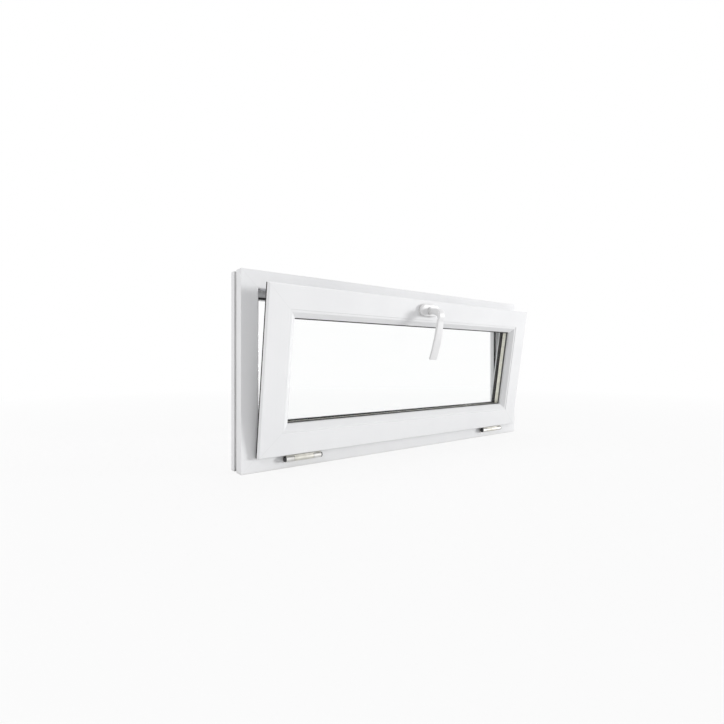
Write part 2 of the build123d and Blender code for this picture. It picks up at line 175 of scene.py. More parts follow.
# white profile, beads, cover parts
whitePlastic = {
    "base": (0.835, 0.838, 0.842),
    "shade": (0.775, 0.780, 0.790),
    "dustAndShadeColour": (0.46, 0.44, 0.40),
    "worn": (0.72, 0.72, 0.715),
    "drawLines": 1.1 * mm,
    "lineLength": 0.6,
    "patchSize": 0.16,
    "peelSize": 1.6 * mm,
    "patchShade": 0.55,
    "lineShade": 0.35,
    "wear": 0.5,
    "wornPatches": (0.3, 0.6),
    "wornShare": (0.3, 1.0),
    "dustAndShadeShare": (0.6, 1.0),
    "gloss": (0.38, 0.50),
    "glossLines": (0.4, 0.8),
    "lineGloss": 0.06,
    "crevice": 9.0 * mm,
    "edge": 1.2 * mm,
    "lineHeight": 0.35,
    "bump": 0.12,
    "bumpDepth": 0.15 * mm,
    "refraction": 1.52,
    "specular": 0.15,
}


def makePlastic(name, run, turn, tint, dustAndShadeAmount):
    # run is the direction in which the profile was drawn, 0 along X and 2 along Z
    look = whitePlastic
    finish, tree, shader = startFinish(name)
    lineSize = [look["drawLines"]] * 3
    lineSize[run] = look["lineLength"]
    lines = cloud(tree, lineSize, turn, grainDetail)
    patches = cloud(tree, [look["patchSize"]] * 3, turn, patchDetail)
    peel = cloud(tree, [look["peelSize"]] * 3, turn, grainDetail)
    base = rgba([channel * tint for channel in look["base"]])
    shade = rgba([channel * tint for channel in look["shade"]])
    colour = blendColour(tree, remap(tree, patches, upper, (0.0, look["patchShade"])), base, shade)
    colour = blendColour(tree, remap(tree, lines, peaks, (0.0, look["lineShade"])), colour, shade)
    wornShare = remap(tree, patches, look["wornPatches"], look["wornShare"])
    worn = compute(tree, "MULTIPLY", edgeMask(tree, look["edge"], look["wear"]), wornShare)
    colour = blendColour(tree, worn, colour, rgba(look["worn"]))
    # dust and painted shade: a brownish grey laid into grooves and inner corners by occlusion
    dustAndShadeShare = remap(tree, patches, middle, look["dustAndShadeShare"])
    dustedAndShaded = compute(tree, "MULTIPLY", creviceDirtAndShade(tree, look["crevice"], dustAndShadeAmount), dustAndShadeShare)
    colour = blendColour(tree, dustedAndShaded, colour, rgba(look["dustAndShadeColour"]))
    tree.links.new(colour, shader.inputs["Base Color"])
    lineGloss = remap(tree, lines, look["glossLines"], (0.0, look["lineGloss"]))
    gloss = compute(tree, "ADD", remap(tree, patches, middle, look["gloss"]), lineGloss)
    tree.links.new(gloss, shader.inputs["Roughness"])
    height = compute(tree, "ADD", compute(tree, "MULTIPLY", lines, look["lineHeight"]), peel)
    setBump(tree, shader, height, look["bump"], look["bumpDepth"])
    shader.inputs["IOR"].default_value = look["refraction"]
    shader.inputs["Specular IOR Level"].default_value = look["specular"]
    return finish


# rubber and sealant
rubberLook = {
    "patchSize": 0.03,
    "grainSize": 0.5 * mm,
    "fadedPatches": (0.4, 0.75),
    "faded": 0.6,
    "edge": 0.4 * mm,
    "edgeFaded": 0.35,
    "gloss": (0.52, 0.72),
    "bump": 0.25,
    "bumpDepth": 0.08 * mm,
    "specular": 0.25,
}


def makeRubber(name, turn, base, bloom):
    look = rubberLook
    finish, tree, shader = startFinish(name)
    patches = cloud(tree, [look["patchSize"]] * 3, turn, patchDetail)
    grain = cloud(tree, [look["grainSize"]] * 3, turn, grainDetail)
    fadedPatches = remap(tree, patches, look["fadedPatches"], (0.0, look["faded"]))
    faded = compute(tree, "ADD", fadedPatches, edgeMask(tree, look["edge"], look["edgeFaded"]))
    tree.links.new(blendColour(tree, faded, rgba(base), rgba(bloom)), shader.inputs["Base Color"])
    tree.links.new(remap(tree, patches, middle, look["gloss"]), shader.inputs["Roughness"])
    setBump(tree, shader, grain, look["bump"], look["bumpDepth"])
    shader.inputs["Specular IOR Level"].default_value = look["specular"]
    return finish


# metals, plated or drawn, with faint brush marks, dull patches, bright rubbed edges and painted shade in
# crevices
metalLook = {
    "patchSize": 0.018,
    "markSize": (20.0 * mm, 0.35 * mm, 0.35 * mm),
    "dulled": 0.8,
    "edge": 0.5 * mm,
    "rubbed": 0.7,
    "rubbedGain": 1.25,
    "crevice": 2.5 * mm,
    "creviceShading": 0.5,
    "creviceShadeShare": 0.25,
    "glossMarks": (0.3, 0.8),
    "markGloss": 0.10,
    "bumpDepth": 0.05 * mm,
}


def makeMetal(name, turn, base, dull, brushed, gloss):
    look = metalLook
    finish, tree, shader = startFinish(name)
    patches = cloud(tree, [look["patchSize"]] * 3, turn, stainDetail)
    marks = cloud(tree, look["markSize"], turn, grainDetail)
    colour = blendColour(tree, remap(tree, patches, middle, (0.0, look["dulled"])), rgba(base), rgba(dull))
    rubbed = rgba([min(1.0, channel * look["rubbedGain"]) for channel in base])
    colour = blendColour(tree, edgeMask(tree, look["edge"], look["rubbed"]), colour, rubbed)
    # painted shade: a darker copy of the dull colour, laid into crevices by occlusion
    creviceShade = rgba([channel * look["creviceShadeShare"] for channel in dull])
    colour = blendColour(tree, creviceDirtAndShade(tree, look["crevice"], look["creviceShading"]), colour, creviceShade)
    tree.links.new(colour, shader.inputs["Base Color"])
    markGloss = remap(tree, marks, look["glossMarks"], (0.0, look["markGloss"]))
    rough = compute(tree, "ADD", remap(tree, patches, middle, gloss), markGloss)
    tree.links.new(rough, shader.inputs["Roughness"])
    setBump(tree, shader, marks, brushed, look["bumpDepth"])
    shader.inputs["Metallic"].default_value = 1.0
    return finish


# clear float glass; its refraction is kept low, so that the white room mirrored in four
# faces doesn't veil the dark seals behind them
glassLook = {
    "clean": (1.0, 1.0, 1.0),
    "smeared": (0.985, 0.992, 0.990),
    "shadow": (0.93, 0.95, 0.94),
    "smearSize": (0.09, 0.09, 0.03),
    "haze": 0.02,
    "refraction": 1.13,
    "bump": 0.02,
    "bumpDepth": 0.05 * mm,
}


def makeGlass(name, turn):
    # light passes to what is behind it
    look = glassLook
    finish, tree, shader = startFinish(name)
    smears = cloud(tree, look["smearSize"], turn, stainDetail)
    shader.inputs["Transmission Weight"].default_value = 1.0
    shader.inputs["IOR"].default_value = look["refraction"]
    tint = blendColour(tree, smears, rgba(look["clean"]), rgba(look["smeared"]))
    tree.links.new(tint, shader.inputs["Base Color"])
    tree.links.new(remap(tree, smears, peaks, (0.0, look["haze"])), shader.inputs["Roughness"])
    setBump(tree, shader, smears, look["bump"], look["bumpDepth"])
    shadowRay = addNode(tree, "ShaderNodeLightPath").outputs["Is Shadow Ray"]
    clear = addNode(tree, "ShaderNodeBsdfTransparent", None, {"Color": rgba(look["shadow"])})
    values = {0: shadowRay, 1: shader.outputs["BSDF"], 2: clear.outputs["BSDF"]}
    both = addNode(tree, "ShaderNodeMixShader", None, values)
    tree.links.new(both.outputs["Shader"], tree.nodes["Material Output"].inputs["Surface"])
    return finish


# powder coat of the handle
handleCoatLook = {
    "base": (0.80, 0.80, 0.80),
    "shade": (0.74, 0.74, 0.745),
    "touched": (0.62, 0.60, 0.57),
    "grimeAndShade": (0.40, 0.39, 0.37),
    "patchSize": 0.022,
    "grainSize": 0.55 * mm,
    "patchShade": 0.7,
    "edge": 1.0 * mm,
    "wear": 0.4,
    "wornPatches": (0.35, 0.65),
    "crevice": 7.0 * mm,
    "grimeAndShadeStrength": 0.8,
    "gloss": (0.30, 0.42),
    "bump": 0.18,
    "bumpDepth": 0.08 * mm,
    "coat": 0.15,
    "coatRoughness": 0.25,
}


def makeHandleCoat(name, turn):
    look = handleCoatLook
    finish, tree, shader = startFinish(name)
    patches = cloud(tree, [look["patchSize"]] * 3, turn, stainDetail)
    grain = cloud(tree, [look["grainSize"]] * 3, turn, plainDetail)
    shaded = remap(tree, patches, upper, (0.0, look["patchShade"]))
    colour = blendColour(tree, shaded, rgba(look["base"]), rgba(look["shade"]))
    wornShare = remap(tree, patches, look["wornPatches"], (0.0, 1.0))
    worn = compute(tree, "MULTIPLY", edgeMask(tree, look["edge"], look["wear"]), wornShare)
    colour = blendColour(tree, worn, colour, rgba(look["touched"]))
    # grime and painted shade in crevices, darkening the rose's side next to the sash face
    colour = blendColour(tree, creviceDirtAndShade(tree, look["crevice"], look["grimeAndShadeStrength"]), colour, rgba(look["grimeAndShade"]))
    tree.links.new(colour, shader.inputs["Base Color"])
    tree.links.new(remap(tree, patches, middle, look["gloss"]), shader.inputs["Roughness"])
    setBump(tree, shader, grain, look["bump"], look["bumpDepth"])
    shader.inputs["Coat Weight"].default_value = look["coat"]
    shader.inputs["Coat Roughness"].default_value = look["coatRoughness"]
    return finish


# black plastic of the hinge caps, also laid on the rail slots and spacer holes as their painted shade
blackCapAndHoleShadeLook = {
    "base": (0.012, 0.012, 0.013),
    "shade": (0.030, 0.030, 0.032),
    "rubbed": (0.090, 0.090, 0.095),
    "patchSize": 0.012,
    "grainSize": 0.4 * mm,
    "edge": 0.6 * mm,
    "wear": 0.5,
    "gloss": (0.38, 0.52),
    "bump": 0.2,
    "bumpDepth": 0.06 * mm,
}


def makeBlackCapAndHoleShade(name):
    look = blackCapAndHoleShadeLook
    finish, tree, shader = startFinish(name)
    patches = cloud(tree, [look["patchSize"]] * 3, 0.0, patchDetail)
    grain = cloud(tree, [look["grainSize"]] * 3, 0.0, grainDetail)
    colour = blendColour(tree, remap(tree, patches, upper, (0.0, 1.0)), rgba(look["base"]), rgba(look["shade"]))
    colour = blendColour(tree, edgeMask(tree, look["edge"], look["wear"]), colour, rgba(look["rubbed"]))
    tree.links.new(colour, shader.inputs["Base Color"])
    tree.links.new(remap(tree, patches, middle, look["gloss"]), shader.inputs["Roughness"])
    setBump(tree, shader, grain, look["bump"], look["bumpDepth"])
    return finish


alongX, alongZ = 0, 2
plastics = {  # drawn along, turn, tint, how much dust and painted shade its crevices take
    "frameAcross": (alongX, 0.0, 1.0, 0.7),
    "frameUpright": (alongZ, 0.0, 1.0, 0.7),
    "sashAcross": (alongX, openAngle, 1.01, 0.35),
    "sashUpright": (alongZ, openAngle, 1.01, 0.35),
    "beadAcross": (alongX, openAngle, 0.99, 0.45),
    "beadUpright": (alongZ, openAngle, 0.99, 0.45),
    "weldSeam": (alongX, 0.0, 0.985, 0.4),
    "drainWhite": (alongX, 0.0, 0.98, 0.5),
}
rubbers = {  # turn, base, bloom
    "frameRubber": (0.0, (0.010, 0.010, 0.011), (0.034, 0.034, 0.036)),
    "sashRubber": (openAngle, (0.010, 0.010, 0.011), (0.034, 0.034, 0.036)),
    "lipRubber": (openAngle, (0.070, 0.070, 0.070), (0.120, 0.120, 0.120)),
    "edgeSealant": (openAngle, (0.035, 0.036, 0.040), (0.075, 0.075, 0.080)),
}
metals = {  # turn, base, dull patches, brush marks, roughness
    "spacerMetal": (openAngle, (0.86, 0.85, 0.76), (0.76, 0.75, 0.66), 0.20, (0.40, 0.52)),
    "hingeZinc": (0.0, (0.62, 0.615, 0.60), (0.52, 0.515, 0.50), 0.15, (0.48, 0.62)),
    "leafZinc": (0.0, (0.61, 0.60, 0.56), (0.50, 0.49, 0.45), 0.15, (0.48, 0.62)),
    "stayZinc": (0.0, (0.66, 0.67, 0.69), (0.50, 0.51, 0.54), 0.20, (0.28, 0.42)),
    "railZinc": (openAngle, (0.62, 0.63, 0.65), (0.46, 0.47, 0.50), 0.25, (0.30, 0.44)),
    "screwZinc": (0.0, (0.70, 0.71, 0.72), (0.55, 0.56, 0.58), 0.10, (0.25, 0.38)),
}
finishes = {name: makePlastic(name, *values) for name, values in plastics.items()}
finishes.update({name: makeRubber(name, *values) for name, values in rubbers.items()})
finishes.update({name: makeMetal(name, *values) for name, values in metals.items()})
finishes["clearGlass"] = makeGlass("clearGlass", openAngle)
finishes["handleCoat"] = makeHandleCoat("handleCoat", openAngle)
finishes["capBlackAndHoleShade"] = makeBlackCapAndHoleShade("capBlackAndHoleShade")
print("finishes made:", len(finishes))

nodeFinish = {
    "frame_head": "frameAcross",
    "frame_sill": "frameAcross",
    "frame_jamb_left": "frameUpright",
    "frame_jamb_right": "frameUpright",
    "frame_seal": "frameRubber",
    "sash_top_rail": "sashAcross",
    "sash_bottom_rail": "sashAcross",
    "sash_stile_left": "sashUpright",
    "sash_stile_right": "sashUpright",
    "sash_seal": "sashRubber",
    "bead_top": "beadAcross",
    "bead_bottom": "beadAcross",
    "bead_left": "beadUpright",
    "bead_right": "beadUpright",
    "inner_pane": "clearGlass",
    "outer_pane": "clearGlass",
    "edge_sealant": "edgeSealant",
    "spacer_bar": "spacerMetal",
    "glazing_seal_inner": "sashRubber",
    "glazing_seal_outer": "sashRubber",
    "gear_rail": "railZinc",
    "handle_rose": "handleCoat",
    "handle_lever": "handleCoat",
    "handle_spindle": "stayZinc",
}
pairFinish = {  # pieces with a left and a right one
    "hinge_plate": "hingeZinc",
    "hinge_leaf": "leafZinc",
    "hinge_pin": "capBlackAndHoleShade",
    "stay_bracket": "stayZinc",
    "stay_arm": "stayZinc",
    "stay_pin": "stayZinc",
    "stay_guide": "railZinc",
    "lock_cam": "railZinc",
    "striker": "stayZinc",
    "drain_cap": "drainWhite",
}
sides = ("left", "right")
for side in sides:
    for piece, finishName in pairFinish.items():
        nodeFinish[piece + "_" + side] = finishName
for nodeName, finishName in nodeFinish.items():
    for materialSlot in cadNodes[nodeName].material_slots:
        materialSlot.material = finishes[finishName]
print("CAD nodes finished:", len(nodeFinish), "of", len(cadNodes))


# mesh helpers
mergeReach = 1e-7


def addPiece(name, mesh, finishName, body, onSash=False):
    piece = bpy.data.objects.new(name, mesh)
    bpy.context.scene.collection.objects.link(piece)
    if onSash:
        mesh.transform(toOpen)
    mesh.materials.clear()
    mesh.materials.append(finishes[finishName])
    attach(piece, body)
    return piece


def finishMesh(work, name, smoothAngle=None):
    # merged, closed and outward-facing
    bmesh.ops.remove_doubles(work, verts=work.verts, dist=mergeReach)
    bmesh.ops.recalc_face_normals(work, faces=work.faces)
    mesh = bpy.data.meshes.new(name)
    work.to_mesh(mesh)
    work.free()
    if smoothAngle is not None:
        mesh.shade_smooth()
        mesh.set_sharp_from_angle(angle=math.radians(smoothAngle))
    return mesh


def skinRings(work, rings, closeStart=True, closeEnd=True):
    # a closed skin over rings with the same number of points
    loops = [[work.verts.new(point) for point in ring] for ring in rings]
    count = len(loops[0])
    for before, after in zip(loops, loops[1:]):
        for index in range(count):
            following = (index + 1) % count
            work.faces.new((before[index], before[following], after[following], after[index]))
    if closeStart:
        work.faces.new(list(reversed(loops[0])))
    if closeEnd:
        work.faces.new(loops[-1])
    return loops


def circle(radius, height, count, offset=0.0):
    # around Z
    angles = [2 * math.pi * (index + offset) / count for index in range(count)]
    return [(radius * math.cos(angle), radius * math.sin(angle), height) for angle in angles]


def stadiumRing(halfLength, radius, depth, centre, arcPoints):
    # rounded at both ends, long side along X, in the plane at this depth
    straight = halfLength - radius
    ring = []
    for side in (1, -1):
        for step in range(arcPoints + 1):
            angle = side * (math.pi / 2) - math.pi * step / arcPoints
            x = side * straight + radius * math.cos(angle)
            ring.append((centre.x + x, depth, centre.z + radius * math.sin(angle)))
    return ring


# handle: rose cover
roseShape = {
    "arcPoints": 20,
    "seamAt": 1.3 * mm,
    "seamWidth": 0.5 * mm,
    "seamDepth": 0.5 * mm,
    "seamSlope": 0.1 * mm,
    "edgeRound": 2.6 * mm,
    "roundSteps": 6,
    "crown": 0.25 * mm,
    "crownSteps": ((0.45, 0.3), (0.7, 0.0)),  # share of the radius, share of the crown left
    "smoothAngle": 40,
}


def buildRose():
    low, high = closedBox("handle_rose")
    centre = (low + high) / 2
    halfLength = (high.x - low.x) / 2
    radius = (high.z - low.z) / 2
    back, front = high.y, low.y
    shape = roseShape
    seamStart = back - shape["seamAt"]
    seamEnd = seamStart - shape["seamWidth"]
    profile = [
        (0.0, back),
        (0.0, seamStart),
        (shape["seamDepth"], seamStart - shape["seamSlope"]),
        (shape["seamDepth"], seamEnd),
        (0.0, seamEnd - shape["seamSlope"]),
    ]
    roundFrom = front + shape["crown"] + shape["edgeRound"]
    for step in range(shape["roundSteps"] + 1):
        angle = math.pi / 2 * step / shape["roundSteps"]
        inset = shape["edgeRound"] * (1 - math.cos(angle))
        profile.append((inset, roundFrom - shape["edgeRound"] * math.sin(angle)))
    profile += [(radius * inset, front + shape["crown"] * left) for inset, left in shape["crownSteps"]]
    rings = [
        stadiumRing(halfLength - inset, radius - inset, depth, centre, shape["arcPoints"])
        for inset, depth in profile
    ]
    work = bmesh.new()
    skinRings(work, rings)
    mesh = finishMesh(work, "handleRose", shape["smoothAngle"])
    rose = addPiece("handle_rose_cover", mesh, "handleCoat", "sash", onSash=True)
    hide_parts("handle_rose")


# handle: lever
leverShape = {
    "ringPoints": 32,
    "collarRadius": 10.5 * mm,
    "collarDepth": 4.0 * mm,
    "collarRound": 0.7 * mm,
    "boxPower": 6.0,
    "gripHalfThick": 3.5 * mm,
    "gripHalfTop": 10.5 * mm,
    "gripHalfLow": 13.5 * mm,
    "gripWidened": 0.6,  # share of the grip's length
    "gripSteps": 18,
    "curl": 12.0 * mm,
    "curlPower": 2.3,
    "bendDrop": 24.0 * mm,
    "tipHalfThick": 3.0 * mm,
    "tipRound": 2.6 * mm,
    "tipSteps": (0.4, 0.75, 0.95, 1.0),
    "tipThinning": 0.8,
    "smoothAngle": 40,
}
# over the neck and the bend, in mm and degrees: distance out from the rose, drop below the
# axis, lean, half width, half thickness, and how square the ring is
neckStations = (
    (4.1, 0.0, 0, 8.0, 7.6, 3.4),
    (8.0, 0.3, 0, 8.2, 7.8, 3.8),
    (16.0, 1.0, 0, 8.8, 8.4, 4.4),
    (24.0, 1.8, 2, 9.4, 9.2, 5.0),
    (29.5, 2.6, 8, 9.8, 9.8, 5.4),
    (33.5, 4.2, 22, 10.0, 9.4, 5.8),
    (36.4, 7.5, 44, 10.2, 7.6, 6.0),
    (38.2, 12.3, 66, 10.3, 5.4, 6.0),
    (39.7, 17.6, 82, 10.4, 4.1, 6.0),
)


def softBox(centre, across, outward, halfWide, halfThick, power, count):
    # a ring between an ellipse (power 2) and a rounded box (power 5 and more)
    ring = []
    for index in range(count):
        angle = 2 * math.pi * index / count
        cosine, sine = math.cos(angle), math.sin(angle)
        wide = math.copysign(abs(cosine) ** (2 / power), cosine) * halfWide
        thick = math.copysign(abs(sine) ** (2 / power), sine) * halfThick
        ring.append(centre + across * wide + outward * thick)
    return ring


def gripStations(reach, drop):
    # flat and broad, curling back towards the sash, then the tip, cut nearly straight
    shape = leverShape
    hanging = 90
    place = reach - shape["gripHalfThick"]
    gripDrop = drop - shape["bendDrop"]
    stations = []
    for step in range(shape["gripSteps"] + 1):
        share = step / shape["gripSteps"]
        down = shape["bendDrop"] + (gripDrop - shape["tipRound"]) * share
        curved = ((down - shape["bendDrop"]) / gripDrop) ** shape["curlPower"]
        slope = shape["curlPower"] * shape["curl"] / gripDrop * share ** (shape["curlPower"] - 1)
        widened = min(1.0, share / shape["gripWidened"])
        wide = shape["gripHalfTop"] + (shape["gripHalfLow"] - shape["gripHalfTop"]) * widened
        thick = shape["gripHalfThick"] + (shape["tipHalfThick"] - shape["gripHalfThick"]) * share
        lean = hanging + math.degrees(math.atan(slope))
        stations.append((place - shape["curl"] * curved, down, lean, wide, thick, shape["boxPower"]))
    lastOut, lastDown, lastLean, lastWide, lastThick, lastPower = stations[-1]
    for share in shape["tipSteps"]:
        eased = shape["tipRound"] * (1 - math.sqrt(1 - share**2))
        out = lastOut - shape["tipRound"] * share * math.sin(math.radians(lastLean - hanging))
        down = lastDown + shape["tipRound"] * share
        thick = lastThick - shape["tipThinning"] * eased
        stations.append((out, down, lastLean, lastWide - eased, thick, lastPower))
    return stations


def buildLever():
    low, high = closedBox("handle_lever")
    roseLow, roseHigh = closedBox("handle_rose")
    axisZ = (roseLow.z + roseHigh.z) / 2
    start = high.y
    shape = leverShape
    collar, depth, eased = shape["collarRadius"], shape["collarDepth"], shape["collarRound"]
    ellipse = 2.0
    stations = [
        (0.0, 0.0, 0, collar, collar, ellipse),
        (depth - eased, 0.0, 0, collar, collar, ellipse),
        (depth, 0.0, 0, collar - eased, collar - eased, ellipse),
    ]
    for out, down, lean, wide, thick, power in neckStations:
        stations.append((out * mm, down * mm, lean, wide * mm, thick * mm, power))
    stations += gripStations(start - low.y, axisZ - low.z)
    across = Vector((1.0, 0.0, 0.0))
    rings = []
    for out, down, lean, wide, thick, power in stations:
        turn = math.radians(lean)
        outward = Vector((0.0, -math.sin(turn), math.cos(turn)))
        centre = Vector((0.0, start - out, axisZ - down))
        rings.append(softBox(centre, across, outward, wide, thick, power, shape["ringPoints"]))
    work = bmesh.new()
    skinRings(work, rings)
    mesh = finishMesh(work, "handleGrip", shape["smoothAngle"])
    lever = addPiece("handle_grip", mesh, "handleCoat", "handle", onSash=True)
    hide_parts("handle_lever")


buildRose()
buildLever()
print("handle built")


# gasket lip between the beads and the glass
lipShape = {
    "stand": 2.9 * mm,
    "backLip": 0.35 * mm,
    "frontEase": 1.1 * mm,
    "frontStand": 0.9 * mm,
    "frontStart": 0.1 * mm,
    "hidden": 5.0 * mm,
}


def buildGlassLip():
    # one rubber ring, mitred at its corners; inset counts from the sight line towards the glass
    sealLow, sealHigh = closedBox("glazing_seal_inner")
    left, right = closedBox("bead_left")[1].x, closedBox("bead_right")[0].x
    bottom, top = closedBox("bead_bottom")[1].z, closedBox("bead_top")[0].z
    front, back = sealLow.y, sealHigh.y
    shape = lipShape
    section = (
        (front, -shape["hidden"]),
        (front, shape["frontStart"]),
        (front + shape["frontEase"], shape["frontStand"]),
        (back - shape["backLip"], shape["stand"]),
        (back, shape["stand"] - shape["backLip"]),
        (back, -shape["hidden"]),
    )
    corners = ((left, bottom, 1, 1), (right, bottom, -1, 1), (right, top, -1, -1), (left, top, 1, -1))
    rings = []
    for cornerX, cornerZ, inX, inZ in corners:
        rings.append([Vector((cornerX + inX * inset, depth, cornerZ + inZ * inset)) for depth, inset in section])
    work = bmesh.new()
    skinRings(work, rings + rings[:1], closeStart=False, closeEnd=False)
    mesh = finishMesh(work, "glazingLip")
    lip = addPiece("glazing_lip", mesh, "lipRubber", "sash", onSash=True)
    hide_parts("glazing_seal_inner")


buildGlassLip()
print("glazing lip built")


# weld lines over the mitres, each from one inset to another, counted from the outer edge
weldShape = {
    "rootHalf": 0.8 * mm,
    "crestHalf": 0.48 * mm,
    "proud": 0.05 * mm,
    "sunk": 0.15 * mm,
    "frameRoom": (1.0 * mm, 37.0 * mm),
    "frameOutdoor": (1.0 * mm, 58.0 * mm),
    "sashRoomFrom": 4.5 * mm,
    "shortOfBead": 2.0 * mm,
    "sashOutdoor": (21.0 * mm, 70.0 * mm),
}


def cornerSeams(work, low, high, depth, insets, outward):
    # a thin ribbon over each of the four mitres of a flat face at this depth
    shape = weldShape
    centre = (low + high) / 2
    half = (high - low) / 2
    normal = Vector((0.0, outward, 0.0))
    for sideX in (-1, 1):
        for sideZ in (-1, 1):
            across = Vector((sideX, 0.0, -sideZ)) / math.sqrt(2)
            root, crest = across * shape["rootHalf"], across * shape["crestHalf"]
            rings = []
            for inset in insets:
                x = centre.x + sideX * (half.x - inset)
                z = centre.z + sideZ * (half.z - inset)
                spot = Vector((x, depth, z))
                outer = spot + normal * shape["proud"]
                inner = spot - normal * shape["sunk"]
                rings.append([inner - root, outer - crest, outer + crest, inner + root])
            skinRings(work, rings)


def buildSeams():
    toRoom, toOutdoors = -1.0, 1.0
    low, high = restBox("frame_head", "frame_sill", "frame_jamb_left", "frame_jamb_right")
    work = bmesh.new()
    cornerSeams(work, low, high, low.y, weldShape["frameRoom"], toRoom)
    cornerSeams(work, low, high, high.y, weldShape["frameOutdoor"], toOutdoors)
    mesh = finishMesh(work, "frameWelds")
    addPiece("frame_weld_lines", mesh, "weldSeam", "frame")
    low, high = closedBox("sash_top_rail", "sash_bottom_rail", "sash_stile_left", "sash_stile_right")
    sashFace = closedBox("bead_bottom")[0].z - low.z
    room = (weldShape["sashRoomFrom"], sashFace - weldShape["shortOfBead"])
    work = bmesh.new()
    cornerSeams(work, low, high, low.y, room, toRoom)
    cornerSeams(work, low, high, high.y, weldShape["sashOutdoor"], toOutdoors)
    mesh = finishMesh(work, "sashWelds")
    addPiece("sash_weld_lines", mesh, "weldSeam", "sash", onSash=True)


buildSeams()
print("weld lines built")


# screws, and dark slot and perforation shapes that paint the shade of holes, by geometry nodes
def buildSetTree(treeName):
    # one copy of a small part on each point, turned to the point's aim, at a random turn
    tree = bpy.data.node_groups.new(treeName, "GeometryNodeTree")
    wanted = (
        ("Places", "NodeSocketGeometry"),
        ("Part", "NodeSocketObject"),
        ("Size", "NodeSocketFloat"),
        ("Most Turn", "NodeSocketFloat"),
        ("Seed", "NodeSocketInt"),
        ("Finish", "NodeSocketMaterial"),
    )
    for name, kind in wanted:
        tree.interface.new_socket(name=name, in_out="INPUT", socket_type=kind)
    tree.interface.new_socket(name="Result", in_out="OUTPUT", socket_type="NodeSocketGeometry")
    start = addNode(tree, "NodeGroupInput").outputs
    end = addNode(tree, "NodeGroupOutput")
    aim = addNode(tree, "GeometryNodeInputNamedAttribute", {"data_type": "FLOAT_VECTOR"}, {"Name": "aim"})
    aimed = {"Vector": aim.outputs["Attribute"]}
    turned = addNode(tree, "FunctionNodeAlignRotationToVector", {"axis": "Z"}, aimed)
    chance = addNode(tree, "FunctionNodeRandomValue", {"data_type": "FLOAT"})
    tree.links.new(start["Most Turn"], chance.inputs[3])
    tree.links.new(start["Seed"], chance.inputs["Seed"])
    aboutAxis = {"Axis": (0.0, 0.0, 1.0), "Angle": chance.outputs[1]}
    spin = addNode(tree, "FunctionNodeAxisAngleToRotation", None, aboutAxis)
    local = addNode(tree, "FunctionNodeRotateRotation", {"rotation_space": "LOCAL"})
    tree.links.new(turned.outputs["Rotation"], local.inputs["Rotation"])
    tree.links.new(spin.outputs["Rotation"], local.inputs["Rotate By"])
    source = addNode(tree, "GeometryNodeObjectInfo", None, {"Object": start["Part"]})
    copies = addNode(tree, "GeometryNodeInstanceOnPoints", None, {"Points": start["Places"]})
    tree.links.new(source.outputs["Geometry"], copies.inputs["Instance"])
    tree.links.new(local.outputs["Rotation"], copies.inputs["Rotation"])
    tree.links.new(start["Size"], copies.inputs["Scale"])
    real = addNode(tree, "GeometryNodeRealizeInstances", None, {"Geometry": copies.outputs["Instances"]})
    painted = {"Geometry": real.outputs["Geometry"], "Material": start["Finish"]}
    final = addNode(tree, "GeometryNodeSetMaterial", None, painted)
    tree.links.new(final.outputs["Geometry"], end.inputs["Result"])
    return tree


setTree = buildSetTree("setPartsOnPoints")


def setParts(name, part, places, finishName, body, slotName, onSash=False, size=1.0, mostTurn=0.0, seed=1):
    # places is a list of (point, aim)
    base = bpy.data.meshes.new(name + "Places")
    base.from_pydata([point for point, aim in places], [], [])
    aims = base.attributes.new("aim", "FLOAT_VECTOR", "POINT")
    for index, (point, aim) in enumerate(places):
        aims.data[index].vector = aim
    holder = bpy.data.objects.new(name + "Holder", base)
    bpy.context.scene.collection.objects.link(holder)
    modifier = holder.modifiers.new("set", "NODES")
    modifier.node_group = setTree
    sockets = {item.name: item.identifier for item in setTree.interface.items_tree if item.in_out == "INPUT"}
    modifier[sockets["Part"]] = part
    modifier[sockets["Size"]] = size
    modifier[sockets["Most Turn"]] = mostTurn
    modifier[sockets["Seed"]] = seed
    modifier[sockets["Finish"]] = finishes[finishName]
    evaluated = holder.evaluated_get(bpy.context.evaluated_depsgraph_get())
    mesh = bpy.data.meshes.new_from_object(evaluated)
    mesh.name = name
    bpy.data.objects.remove(holder)
    return addPiece(name, mesh, finishName, body, onSash)


smallPartAngle = 30


def sourcePart(name, work):
    # what the copies are made from, removed when they are set
    part = bpy.data.objects.new(name, finishMesh(work, name, smallPartAngle))
    bpy.context.scene.collection.objects.link(part)
    return part


screwShape = {
    "rim": 16,
    "radius": 3.0 * mm,
    "topShare": 0.93,
    "rootShare": 0.7,
    "proud": 0.12 * mm,
    "shoulder": 0.05 * mm,
    "sunk": 0.6 * mm,
    "crossArm": 1.7 * mm,
    "crossHalf": 0.42 * mm,
    "crossDepth": 0.5 * mm,
    "crossTaper": 0.8,
}


